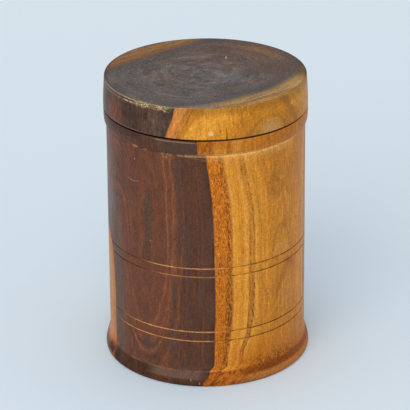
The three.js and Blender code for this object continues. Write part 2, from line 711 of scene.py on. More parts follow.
# %% [markdown]
# Along that number the colours change in bands: orange next to the boundary, a line of dark
# pores, clear gold, the brown streak, and a duller gold beyond. Where the rings just touch
# the surface, farther right, they open into two faint arches. There is also a small knot
# that was sanded over. The marks are a table: a colour, a soft oval and its strength.

# %% Sapwood colours
front_bands = (
    (0, (174, 92, 18)), (0.06, (196, 110, 26)), (0.2, (186, 104, 22)), (0.3, (192, 108, 26)),
    (0.4, (186, 104, 22)), (0.48, (186, 107, 26)), (0.54, (200, 125, 40)), (0.59, (218, 150, 60)),
    (0.65, (214, 141, 44)), (0.72, (214, 137, 40)), (0.79, (207, 130, 34)), (0.86, (219, 151, 58)),
    (0.92, (212, 142, 48)), (0.955, (192, 121, 36)), (1, (203, 131, 44)), (1.03, (190, 119, 34)),
    (1.06, (217, 149, 60)), (1.1, (213, 143, 50)), (1.16, (201, 129, 38)), (1.25, (200, 128, 36)),
    (1.32, (196, 126, 36)), (1.42, (190, 119, 30)))
gold_arch_side = 48
gold_arch_bend = 0.0042
gold_arch_top = 80
gold_tent_side = 54
gold_tent_top = 59
gold_marks = (
    ((222, 166, 98), (47.2, 105.9, 1.3, 1.4), 0.35), ((218, 164, 96), (51, 96.2, 1.5, 2.4), 0.4),
    ((150, 96, 30), (21, 116, 2.4, 8), 0.35), ((150, 78, 34), (37, 47, 3.2, 2.6), 0.3),
    ((214, 146, 92), (37, 47, 1.6, 1.3), 0.4))
pore_brown = (104, 52, 12)


def gold(place, depth, band):
    """Colour of the sapwood at the front right."""
    side, z, skin = place.side, place.z, place.skin
    drift = place.noise(14, 60)
    fine = ripple(depth * 2.6 + drift * 2, 3, 0.7) - 0.5
    broad = ripple(depth * 1.2 + drift + 7, 2, 0.5) - 0.5
    cloud = place.noise(6, 9, 3, 0.6) - 0.5
    colour = stained(band, front_bands).lit(fine * 0.4 + broad * 0.16 + cloud * 0.36 + 1)
    calm = band.between(0.53, 0.9, 0.04).most(band.near(1.07, 0.06)) * z.rise(84, 112)
    colour.wipe((206, 134, 44), calm * 0.5)
    straw = place.noise(1.6, 16, 3, 0.6, lean=0.05) - 0.5
    colour.light(straw * band.rise(0.5, 1.3) * 0.8 + 1)
    hair = place.noise(0.9, 5, 3, 0.6).rise(0.56, 0.68)
    colour.wipe((228, 168, 98), hair * band.rise(0.5, 0.6) * 0.22)
    ruddy = place.noise(9, 22, 3, 0.6).rise(0.52, 0.68)
    colour.wipe((186, 98, 24), ruddy * 0.26)
    olive = band.between(0.34, 0.5, 0.05) * z.rise(78, 58)
    olive = olive * 0.3 + band.between(0.42, 0.52, 0.06) * 0.3
    colour.wipe((136, 84, 18), olive)
    olive = band.between(0.94, 1.03, 0.03) * z.rise(66, 52) * z.rise(6, 16)
    colour.wipe((158, 98, 28), olive * 0.4)
    warm_base = z.rise(28, 10) * band.rise(0.5, 0.7) * skin
    colour.wipe((182, 92, 0), warm_base * 0.35)

    right = side - gold_arch_side
    arch = z + right * right * right * right * gold_arch_bend + cloud * 4
    arched = right.near(0, 16) * z.between(66, 84, 3) * skin
    colour.wipe((152, 86, 28), arch.near(gold_arch_top, 3) * arched * 0.42)
    colour.wipe((220, 156, 66), arch.rise(80, 68) * arched * 0.32)
    slope = abs(side - gold_tent_side)
    tent = z + slope * side.rise(50, 60).rest() * 0.75 + slope * 0.6 + cloud * 6
    tented = side.rise(38, 46) * side.rise(66, 52) * z.rise(32, 42) * skin
    colour.wipe((146, 80, 28), tent.near(gold_tent_top, 3.6) * tented * 0.5)
    colour.wipe((208, 150, 92), tent.rise(56, 46) * tented * 0.22)
    nested = ripple(arch.most(tent) * 0.26 + cloud) - 0.5
    colour.light(nested * side.between(40, 62, 8) * skin * 0.4 + 1)

    ticks = place.noise(0.48, 1.2, 2, 0.7, lean=0.14)
    longer = place.noise(0.6, 3.6, 2, 0.6, lean=0.1)
    upper = z.rise(62, 76)
    ticked = band.between(0.04, 0.36, 0.04) * (upper * 0.15 + 0.6) + band.between(0.4, 0.5, 0.05)
    colour.light((ticks * -0.95 + longer * -0.45 + 0.7) * ticked * 3.6 + 1)
    lower = z.rise(66, 40)
    pored = ticked * 0.5 + band.near(0.47, 0.08) * (lower * 0.4 + 0.3)
    pored = pored + band.near(1.03, 0.06) * (lower * 0.35 + 0.45)
    pored = pored + band.near(0.955, 0.03) * (lower * 0.3 + 0.35)
    pored = pored + band.near(1, 0.1) * 0.2 + 0.04
    colour.wipe(pore_brown, ticks.most(longer).rise(0.56, 0.68) * pored)
    dotted = band.near(1.035, 0.04) + band.near(0.955, 0.03) + band.near(0.42, 0.1) * lower * 0.8
    colour.wipe(pore_brown, longer.rise(0.5, 0.6) * dotted * (lower * 0.25 + 0.25))
    thread = place.noise(0.55, 5, 2, 0.6, start=2) - 0.5
    colour.light(thread * band.rise(0.5, 0.6) * z.rise(40, 70) * 0.4 + 1)

    smudge = place.spots((41.6, 108.4, 2.2, 2, 0.3), (44.6, 105.6, 2.4, 1.8, 0.36),
                         (43, 103, 8, 10, 0.3))
    colour.wipe((136, 88, 32), smudge)
    for levels, spot, strength in gold_marks:
        colour.wipe(levels, place.spot(*spot) * strength)
    colour.wipe((160, 90, 36), side.near(69, 1.6) * z.rise(66, 76) * 0.25)
    # Painted shade: the gold darkens toward the right edge.
    aside = side.rise(74, 88) * z.rise(24, 40)
    colour.wipe((138, 76, 16), aside * 0.75)
    return colour


# %% [markdown]
# The heartwood. Where the surface just touches the rings, its figure opens into nested
# arches, which woodworkers call cathedrals, and on this jar they hang upside down low on the
# left. A smaller hill of arches stands beside them, and near the boundary the figure is fine
# upright lines. Each of the three is one number that grows from the middle of its figure
# outward. Noise along it gives the many faint lines, and a few strong ones are listed.

# %% Heartwood figure
bowl_side = -37
bowl_width = 15
bowl_lift = (
    (0, 2.3), (11, 1.85), (30, 0.95), (42, 0.5), (50, 0.27), (58, 0.07), (66, 0), (95, 0),
    (105, 0.1), (113, 0.24), (125, 0.46), (132, 0.55))
hill_side = -62
hill_width = 11
hill_lift = (
    (0, 0), (76, 0), (86, 0.24), (92, 0.55), (97, 1), (103, 1.6), (112, 2.6), (132, 5))
heart_tones = (
    (0, (60, 40, 31)), (0.3, (84, 52, 37)), (0.5, (100, 59, 40)), (0.7, (119, 69, 44)),
    (1, (152, 96, 58)))


def heart(place, depth):
    """Colour of the dark wood."""
    side, z, skin = place.side, place.z, place.skin
    wander = place.noise(10, 22, 3) - 0.5
    across = (side - bowl_side + wander * 7) / bowl_width
    bowl = across * across + z.follow(bowl_lift)
    beside = (side - hill_side + wander * 6) / hill_width
    hill = beside * beside + z.follow(hill_lift)
    behind = abs(side + 38).rise(46, 54)
    at_edge = depth.rise(-6, -4.4).most(behind)
    at_hill = side.rise(-42, -50)
    past_edge = depth.rise(-6, -4.4)

    smear = place.noise(1.2, 9, 3, 0.7) - 0.5
    mottle = place.noise(5, 14, 3, 0.6) - 0.5
    lines = ripple(bowl * 4 + smear * 0.8 + mottle * 1.5, 3, 0.65) * at_hill.rest()
    lines = lines + ripple(hill * 3.6 + smear * 0.8 + mottle * 1.5, 3, 0.65) * at_hill
    lines = lines * at_edge.rest() + ripple(depth * 2.2 + smear + mottle, 3, 0.65) * at_edge
    tone = (lines - 0.5) * (at_edge * 0.24 + 0.66) + mottle * 0.5 + smear * 0.5
    tone = tone + past_edge * -0.14 + 0.5

    broken = place.noise(1.8, 9, 3, 0.7, start=8).rise(0.2, 0.55) * 0.6 + 0.4
    blurred = bowl + smear * 0.2
    right_half = side.rise(-38, -33) * at_edge.rest()
    strong = blurred.lines((0.95, 0.14, 0.23), (1.42, 0.15, 0.26), (1.68, 0.08, 0.12),
                           (1.17, 0.1, -0.06))
    tone = tone + strong * right_half * broken
    tone = tone + blurred.near(1.1, 0.9) * right_half * 0.08
    low_left = side.rise(-37, -41) * z.rise(64, 56) * side.rise(-57, -54)
    arms = blurred.lines((0.95, 0.13, 0.16), (1.4, 0.14, 0.2), (1.75, 0.14, 0.16))
    tone = tone + arms * low_left * broken
    nest = blurred.lines((1.72, 0.14, 0.14), (1.52, 0.12, -0.1), (1.34, 0.1, 0.07),
                         (1.9, 0.1, -0.08))
    tone = tone + nest * z.rise(26, 20) * behind.rest() * broken
    arcs = hill.lines((1.08, 0.4, 0.2), (1.8, 0.2, 0.1), (1.46, 0.16, -0.08))
    tone = tone + arcs * at_hill * side.rise(-74, -62) * z.rise(62, 70) * broken
    tone = tone + bowl.near(2.5, 0.3) * 0.16 * z.rise(100, 60) * broken * behind.rest()
    tone = tone - depth.rise(-1.4, -0.2) * 0.08
    colour = stained(tone, heart_tones)

    slate = (82, 60, 50)
    cool = place.noise(3, 26, 3, 0.6)
    colour.wipe(slate, cool.rise(0.48, 0.64) * (past_edge * 0.5 + 0.3))
    islands = place.spots((-36.5, 54, 6, 7, 1), (-38, 35, 6, 7, 1), (-36.5, 19, 9, 6, 0.8),
                          (-34, 89, 4, 22, 0.85), (-18.5, 49, 2.4, 16, 1), (-20, 22, 5, 14, 1))
    islands = (islands * behind.rest() + cool * 1.8 + smear * 1.2).rise(1.15, 2)
    colour.wipe(slate, islands * 0.7)
    left_slate = side.between(-67, -58, 5) * z.rise(88, 64)
    left_slate = left_slate + side.between(-80, -60, 6) * z.between(72, 90, 6) * 0.8
    left_slate = (left_slate * skin + cool * 1.8 + smear * 1.6).rise(1.1, 2)
    colour.wipe((97, 76, 62), left_slate * side.rise(-44, -54) * 0.58)
    red = side.between(-53, -25, 4) * z.between(32, 60, 8) * 0.3
    red = red + side.between(-54, -49, 3) * z.between(60, 92, 6) * 0.2
    red = red + side.between(-74, -60, 5) * z.rise(112, 120) * 0.35
    colour.wipe((120, 64, 44), red * skin)
    return colour


# %% [markdown]
# A second strip of sapwood shows low on the far left. There the cut came close to the bark on
# the other side of the log, so it is a flat slice: everything beyond a plane that leans
# outward with height.

# %% Back sapwood
back_side = math.radians(-118)
back_reach = (
    (0, 31.6), (14, 31.9), (40, 31.9), (50, 32.6), (60, 34), (66, 36.5), (72, 41.5), (90, 45.5),
    (132, 46))


def back_sap(place):
    """Depth in mm beyond the plane of the back sapwood."""
    along = place.x * math.sin(back_side) - place.y * math.cos(back_side)
    fray = (place.noise(1.4, 7, 3) - 0.5) * 0.8
    sway = (place.noise(15, 36) - 0.5) * place.side.rise(-94, -114) * 8
    return along - place.z.follow(back_reach) + fray + sway


def back_gold(place, depth):
    lines = ripple(depth * 2.4) - 0.5
    colour = stained(depth, ((0, (150, 84, 36)), (0.8, (184, 114, 56)), (2.2, (178, 112, 54)),
                             (4, (192, 128, 66)), (9, (184, 116, 48)), (18, (186, 116, 38))))
    colour.light(lines * 0.6 + 1)
    colour.wipe((170, 82, 28), place.z.rise(13, 8) * place.skin * 0.7)
    return colour


# %% [markdown]
# The rings. On the dark wood the tool broke through the polish and left the cuts pale and
# dusty, brightest where a hand doesn't reach them, and on the gold the cuts are darker. For
# each ring the lines below say how pale it is and from which side to which.

# %% Ring colours
ring_marks = {64.1: (1, -46, -26, 12), 59.6: (0.5, -42, -22, 14),
              29.4: (1, -66, -40, 10), 24.3: (0.9, -76, -48, 4)}
pale_cut = (232, 172, 108)
amber_cut = (150, 90, 42)
darker_gold_cut = (92, 50, 18)
dark_cut = (48, 30, 22)


def mark_rings(colour, place, sapwood):
    side, z, skin = place.side, place.z, place.skin
    broken = place.noise(3.5, 3, 3, 0.65)
    for height, (strength, starts, full, ends) in ring_marks.items():
        cut = z.near(height, 0.5) * skin
        shown = side.rise(starts, full) * side.rise(140, 100)
        pale = shown * side.rise(ends + 4, ends - 4) * (broken.rise(0.3, 0.6) * 0.6 + 0.4)
        dark = shown.rest() * sapwood.rest() * (broken.rise(0.35, 0.6) * 0.4 + 0.2)
        colour.wipe(dark_cut, cut * dark)
        gold_darkening = side.rise(ends - 6, ends + 26) * (broken.rise(0.3, 0.6) * 0.5 + 0.4)
        colour.wipe(darker_gold_cut, cut * sapwood * gold_darkening)
        colour.wipe(amber_cut, cut * shown * sapwood.rest() * 0.6)
        colour.wipe(pale_cut, z.near(height, 0.32) * skin * pale * strength)


# %% [markdown]
# Wear, dirt and painted light. The wall's top edge, under the collar, is worn round and
# painted with a cream highlight, and the gold just below the collar has painted highlights.
# The foot is darker than the wall, darker still in the crease on the golden side, with a few
# dark flecks above it. Thin painted highlights run along the step, the lip and the collar's
# top edge, the lip on the dark side has a painted reflection, the upper collar at the left
# has painted shade, and the left edge has a painted sheen.

# %% Wear on the jar
cream = (240, 192, 120)


def wear_jar(colour, place, sapwood):
    side, z, skin = place.side, place.z, place.skin
    dark_wood = sapwood.rest()
    broken = place.noise(3.1, 2, 3, 0.65, start=4)
    # Painted highlight: a cream line along the worn top edge of the wall, on gold and dark wood.
    edge_line = z.near(wall_top - 0.4, 1.2) * skin
    gold_line = sapwood * (broken.rise(0.3, 0.6) * 0.5 + 0.26) * side.rise(80, 30)
    dark_line = dark_wood * side.between(-13, 2, 5) * (broken.rise(0.35, 0.6) * 0.5 + 0.2)
    colour.wipe(cream, edge_line * gold_line)
    colour.wipe((190, 150, 98), edge_line * dark_line)
    # Painted highlights on the gold just below the collar.
    under = z.rise(118, 123.6) * z.rise(125, 124) * side.between(6, 54, 8)
    colour.wipe((234, 172, 92), under * sapwood * skin * broken * 0.7)
    # Painted highlight along the same edge at the left.
    left_line = z.near(124.5, 0.7) * side.between(-84, -60, 5) * skin
    colour.wipe((166, 140, 122), left_line * broken.rise(0.2, 0.6) * 0.45)
    chips = place.spot(-43.8, 124.2, 3.4, 1.1) * 0.75 + place.spot(-36.5, 124, 1.6, 0.8) * 0.4
    colour.wipe((206, 134, 70), chips)
    rub = place.spot(-22.5, 123, 4.4, 2.8) + place.spot(-27, 127.5, 5, 2.6) * 0.8
    crumbs = place.noise(1.25, 0.9, 3, 0.7).rise(0.48, 0.62)
    colour.wipe((178, 136, 86), rub * crumbs * 0.7)

    joint = z.rise(131.45, 131.75) * skin
    colour.wipe((16, 9, 6), joint * dark_wood.most(side.rise(12, 0)))
    colour.wipe((72, 28, 6), joint * sapwood * side.rise(80, 50) * 0.9)
    grimy = z.between(125.4, 131, 1) * skin
    stripes = place.noise(1.9, 14, 3, 0.6, start=11) - 0.5
    spots = place.noise(2, 1.7, 3, 0.7) - 0.5
    dulled = grimy * dark_wood * side.between(-70, 120, 9)
    colour.wipe((80, 50, 38), dulled * 0.75)
    shadow = z.rise(127.8, 129.4) * side.between(-74, -43, 6) * dark_wood * skin
    colour.light(shadow * -0.3 + 1)
    colour.wipe((168, 92, 14), grimy * sapwood * side.rise(10, 30) * 0.5)
    colour.wipe((186, 112, 26), grimy * sapwood * side.rise(24, 14) * 0.5)
    rusty = z.rise(126.6, 128.6) * side.rise(16, 10) * grimy * sapwood
    colour.wipe((160, 88, 0), rusty * 0.5)
    colour.wipe((136, 76, 18), side.near(12.8, 2) * grimy * 0.45)
    colour.wipe((220, 152, 60), side.near(16.5, 2.4) * grimy * 0.35)
    uneven = stripes * (sapwood * -0.3 + 0.8) + spots * (sapwood * -0.35 + 0.7)
    colour.light(uneven * grimy + 1)
    blots = place.noise(1.4, 2, 3, 0.6).rise(0.48, 0.6)
    colour.wipe((110, 62, 22), blots * side.rise(8, 1) * sapwood * grimy * 0.6)
    blue = side.between(-26, 20, 4) * dark_wood * grimy
    colour.wipe((80, 60, 48), blue * 0.6)
    # Painted highlight on the collar's rounded top edge.
    collar_top_highlight = z.near(130.9, 0.45) * side.between(-26, -9, 6) * dark_wood * skin
    colour.wipe((160, 130, 112), collar_top_highlight * 0.55)

    ticks = place.noise(5.2, 0.67, 2, 0.6).rise(0.55, 0.7)
    colour.wipe((150, 112, 80), ticks * place.spot(-4, 120.5, 6, 4.5) * dark_wood * 0.5)
    hair = abs(z - 105.2 - (side + 46) * (side + 46) * 0.03).rise(0.35, 0.1)
    hair = hair * side.between(-50, -42, 1.5) * skin
    colour.wipe((150, 120, 96), hair * 0.5)
    dots = place.spot(-33.4, 76.1, 0.5, 0.45) + place.spot(-44.3, 117, 0.5, 0.7)
    colour.wipe((170, 148, 130), dots * 0.6)

    low = z.rise(8.4, 7.2) * skin
    blots = place.noise(2.2, 2, 3, 0.65)
    left_low = side.between(-58, -34, 10) * 0.22
    colour.light(dark_wood * low * (blots * -0.5 - left_low - 0.05) + 1)
    # Painted reflection: a light grey-brown band on the lip of the foot.
    lip_reflection = z.between(4.4, 7, 1.4) * side.between(-29, -8, 9) * skin
    colour.wipe((124, 96, 80), lip_reflection * dark_wood * 0.5)
    # Painted highlight along the step, on the dark wood.
    step_highlight = z.near(step_height - 0.1, 0.45) * side.between(-45, 100, 15) * skin
    colour.wipe((140, 100, 68), step_highlight * dark_wood * broken.rise(0.3, 0.6) * 0.55)

    colour.wipe((170, 84, 4), low * sapwood * 0.65)
    strokes = place.noise(1.3, 6.5, 3, 0.7, lean=-0.85).rise(0.44, 0.58)
    colour.wipe((92, 44, 12), strokes * low * sapwood * side.rise(58, 26) * 0.72)
    flecks = place.noise(1.1, 1.3, 3, 0.7)
    dusk = z.rise(18, 8) * z.rise(3, 5) * side.rise(10, 34) * skin
    colour.wipe((164, 88, 6), dusk * sapwood * 0.3)
    flecked = (flecks + dusk * 0.18 - 0.1).rise(0.5, 0.6) * side.rise(74, 44)
    colour.wipe((104, 50, 4), flecked * dusk * sapwood * 0.8)
    crease = z.between(5.6, 7.2, 1.8) * side.rise(8, 34) * skin
    colour.wipe((118, 56, 0), crease * sapwood * 0.66)
    # Painted highlight on the lip of the foot, on the gold.
    lip = z.between(1.6, 3.6, 1.4) * side.rise(10, 30) * skin
    colour.wipe((176, 118, 62), lip * sapwood * (flecks * 0.9 + 0.1))
    # Painted glints along the step, on the gold.
    glints = z.near(step_height, 0.7) * side.between(2, 14, 4) * skin
    colour.wipe((226, 156, 84), glints * sapwood * broken.rise(0.42, 0.6) * 0.45)

    back_foot = side.between(-150, -63, 6) * z.rise(9, 5) * skin
    colour.wipe((48, 20, 4), back_foot * 0.85)
    worn_lip = z.rise(3.4, 1.8) * side.between(-104, -70, 7) * skin
    colour.wipe((150, 120, 88), worn_lip * blots.rise(0.3, 0.6) * 0.8)
    ember = side.near(-65.5, 2.6) * z.rise(14, 8) * skin
    colour.wipe((168, 84, 34), ember * blots.rise(0.3, 0.6) * 0.75)
    glow = place.spot(-77, 10, 7, 4.5)
    colour.wipe((206, 104, 44), glow * blots.rise(0.35, 0.6) * 0.7)
    dusty = place.spot(-86, 9, 14, 18)
    colour.wipe((196, 170, 148), dusty * 0.22)
    # Painted sheen on the left edge of the wall, in streaks.
    limb_sheen = place.spot(-80, 94, 18, 34)
    sheen_streaks = place.noise(1.7, 14, 3, 0.6, start=5)
    colour.wipe((176, 172, 170), limb_sheen * sheen_streaks.rise(0.25, 0.8) * 0.24)
    ticks = place.spot(-9.3, 3.4, 0.45, 0.9) + place.spot(-4.5, 1.8, 0.45, 1)
    colour.wipe((176, 158, 138), ticks * 0.5)


# %% [markdown]
# The finish is wax over bare wood: a soft gloss that is patchy, a little rougher on end
# grain and on the worn foot, with the pores and the finest turning marks as a very shallow
# relief.

# %% Finish
wax_ior = 1.23
relief_strength = 0.35
relief_depth = 0.2


def finish_wood(tree, surface, place, colour):
    dashes = place.noise(0.8, 3.3, 2, 0.6) - 0.5
    dots = place.noise(0.77, 1, 1, 0.6) - 0.5
    grain = dashes * 0.55 + dots * (place.flat * 0.4 + 0.9)
    feed(surface.inputs["Base Color"], colour.lit(grain + 1))
    polish = place.noise(6, 9, 3) - 0.5
    worn = place.z.rise(9, 4)
    feed(surface.inputs["Roughness"], polish * 0.2 + place.flat * 0.15 + worn * 0.15 + 0.4)
    surface.inputs["IOR"].default_value = wax_ior
    relief = tree.nodes.new("ShaderNodeBump")
    relief.inputs["Strength"].default_value = relief_strength
    relief.inputs["Distance"].default_value = relief_depth * MM
    turning = ripple(place.z * 1.6 + place.out / 2, 2, 0.5) - 0.5
    feed(relief.inputs["Height"], grain + turning * 0.6)
    tree.links.new(relief.outputs["Normal"], surface.inputs["Normal"])


# %% Jar wood
jar_wood, tree, surface = start_wood("jar_wood")
here = Place(tree)
depth, band = front_sap(here)
back_depth = back_sap(here)
in_front = depth.rise(-0.08, 0.1)
in_back = back_depth.rise(-0.2, 0.25)
sapwood = in_front.most(in_back)
colour = heart(here, depth)
colour = colour.toward(back_gold(here, back_depth), in_back)
colour = colour.toward(gold(here, depth, band), in_front)
mark_rings(colour, here, sapwood)
wear_jar(colour, here, sapwood)
colour = colour.toward(colour.lit(0.62), here.flat)
finish_wood(tree, surface, here, colour)
turned_jar.data.materials.append(jar_wood)
print(f"jar wood of {len(tree.nodes)} nodes")

# %% [markdown]
# The lid comes from the same log, but lies a little turned against the jar, which is why its
# boundary doesn't meet the jar's. Its side shows the same bands: orange, a brown flame, clear
# gold and a duller gold, with a small pale spot, and a pale half moon low at the right.

# %% Lid figure
lid_edge_line = (
    (-48.5, 20.7), (-46.9, 22), (-44.9, 23), (-30, 31.4), (-13, 35.8), (4, 38.2), (16, 38),
    (27, 35.2), (36, 30.2), (42, 26.2), (48, 25))
lid_lean = ((132, 2.5), (136, 1.75), (139, 1.1), (142, 0.35), (145, 0), (148.5, 0))
lid_back_side = math.radians(-137.9)
lid_back_reach = 35.4
lid_bands = (
    (0, (190, 109, 44)), (1.6, (202, 127, 58)), (2.8, (200, 127, 52)), (3.6, (182, 112, 36)),
    (5.2, (188, 118, 30)), (6.4, (213, 144, 47)), (9.5, (215, 146, 47)), (11.8, (206, 134, 34)),
    (13.4, (190, 120, 30)), (14.2, (188, 122, 34)), (15.2, (168, 106, 32)))


def lid_front(place):
    """Depth in mm into the sapwood at the front right of the lid."""
    across = (place.x - place.y) * math.sqrt(0.5)
    along = (place.x + place.y) * math.sqrt(0.5)
    sway = (place.noise(12, 20) - 0.5) * 0.9
    fray = (place.noise(1.3, 6, 3) - 0.5) * 0.6
    return across - along.follow(lid_edge_line) + place.z.follow(lid_lean) + sway + fray


def lid_back(place):
    """Depth in mm into the sapwood at the back left of the lid."""
    along = place.x * math.sin(lid_back_side) - place.y * math.cos(lid_back_side)
    sway = (place.noise(8, 20, 3) - 0.5) * 2
    return along - lid_back_reach + sway


# %% Lid side
def lid_side(place, in_front, in_back, depth, back_depth):
    """Colour of the lid's side and underside."""
    side, z, skin = place.side, place.z, place.skin
    lines = speckle(side / 1.1, place.out / 4, z / 16, 3, 0.7) - 0.5
    mottle = place.noise(3, 3, 3, 0.65) - 0.5
    dark = stained(side, ((-90, (92, 66, 54)), (-66, (80, 50, 36)), (-48, (70, 46, 35)),
                                (-36, (78, 53, 41)), (-30, (84, 62, 50)), (-24, (68, 52, 43)),
                                (-16, (62, 48, 42)), (40, (90, 60, 46))))
    lumps = place.noise(7, 7, 2, 0.5) - 0.5
    dark.light(lines * 1.1 + mottle * 1.7 + lumps * 1.6 + 1)
    scratches = speckle(side / 0.9, 31, z / 7, 2, 0.6).rise(0.54, 0.66)
    dark.wipe((132, 108, 84), scratches * side.between(-37, -24, 3) * 0.35)
    fibres = place.noise(1, 7, 3, 0.7, start=3).rise(0.42, 0.62)
    flame = place.spot(-61, 136, 10, 11) * (fibres * 0.7 + 0.15)
    dark.wipe((146, 74, 34), flame * 0.75)

    fine = speckle(side / 1.3, 0, z / 18, 3, 0.65) - 0.5
    cloud = place.noise(4, 5, 3, 0.6) - 0.5
    left = side.rise(24, 6)
    bright = stained(depth, lid_bands).lit(fine * (left * 0.7 + 0.4) + cloud * 0.6 + 1)
    leaning = speckle((side * 0.9 + z * 0.95) / 2.2, 17, z / 14, 3, 0.6) - 0.5
    bright.light(leaning * side.rise(36, 52) * 0.7 + 1)
    slanted = side + 11 + (z * -1 + 141) * 0.5
    threads = speckle(slanted, 4, z / 9, 3, 0.6).rise(0.47, 0.6)
    bright.wipe((126, 66, 16), threads * slanted.near(0, 4.5) * 0.6)
    pale = speckle(slanted / 1.3, 9, z / 12, 3, 0.6).rise(0.52, 0.64)
    bright.wipe((230, 162, 100), pale * side.rise(-8, -13) * 0.6)
    streaks = speckle((side + z * 0.2) / 1.7, 13, z / 15, 3, 0.6).rise(0.54, 0.66)
    streaks = streaks * side.between(-3, 24, 5)
    bright.wipe((156, 88, 20), streaks * 0.45)
    brownish = speckle((side - z * 0.9) / 2.6, 19, z / 16, 3, 0.6).rise(0.5, 0.64)
    bright.wipe((150, 92, 28), brownish * side.between(13, 30, 4) * 0.4)
    stripe = abs((z - 146) + (side - 48.5) + leaning * 14).rise(5, 1)
    bright.wipe((134, 78, 22), stripe * side.between(46, 59, 4) * 0.4)
    # Painted shade: the gold of the side darkens toward the right.
    bright = bright.toward(bright.lit(0.82), side.rise(34, 64))
    moon_side = (side - 37) / 10.5
    moon_rise = (z - 131) / 8.2
    moon = moon_side * moon_side + moon_rise * moon_rise + cloud * 0.5
    moon = moon * skin + skin.rest() * 9
    bright.wipe((204, 158, 96), moon.rise(1, 0.4) * side.rise(26, 36) * 0.5)
    bright.wipe((200, 140, 66), moon.near(0.9, 0.3) * 0.3)
    bright.wipe((146, 88, 30), moon.near(1.45, 0.34) * 0.3)
    bright.wipe((240, 186, 118), place.spot(2.7, 135.8, 1.9, 1.6) * 0.75)
    hairline = abs(side - 11.4 + (z - 134.5) * 0.14).rise(0.36, 0.08)
    hairline = hairline * z.rise(139.5, 136.5)
    bright.wipe((92, 40, 6), hairline * skin * 0.75)
    edge = z.rise(142.8, 147) * (side.rise(-12, 0) * 0.6 + 0.4)
    bright = bright.toward(bright.lit(0.7), edge)
    bright.wipe((226, 172, 100), place.spot(55.5, 143, 1.2, 1.4) * 0.6)
    behind = stained(back_depth, ((0, (134, 82, 40)), (2.5, (176, 116, 60)), (6, (156, 98, 46)),
                                  (10, (178, 118, 60)), (16, (160, 102, 50))))
    behind.light(fibres * -0.2 + cloud * 0.8 + 1.08)
    return dark.toward(behind, in_back).toward(bright, in_front)


# %% [markdown]
# The top of the lid is end grain. It has gone grey-brown and matt, bluish along both
# boundaries, with reddish clouds, the arcs that the lathe left, hundreds of tiny pale specks
# where the pores were filled with wax, and a painted sheen in arcs round the middle. The
# sapwood shows there in streaks along the boundary, as if it had been wiped on. Each row of
# the table is a soft cloud of colour: its colour, where it lies, how far its edge and its
# core reach, and how strong it is. Three rows are painted light: a lilac-grey painted
# highlight right of the middle, and a painted shadow and a painted highlight beside the
# centre dent. The rounded edge is painted darker toward the back, as painted shade.

# %% Lid top
# Rows one, four and five are painted light: a lilac-grey painted highlight, then a painted shadow
# and a painted highlight beside the centre dent.
lid_clouds_and_painted_light = (
    ((112, 106, 112), (11, -8), 13, 2, 0.45), ((94, 64, 50), (4, 10), 6, 1, 0.5),
    ((78, 58, 46), (34, 3), 15, 4, 0.6), ((66, 60, 58), (-3.5, -3.5), 4, 0.5, 0.4),
    ((120, 114, 112), (1, 2.5), 4, 0.5, 0.35))


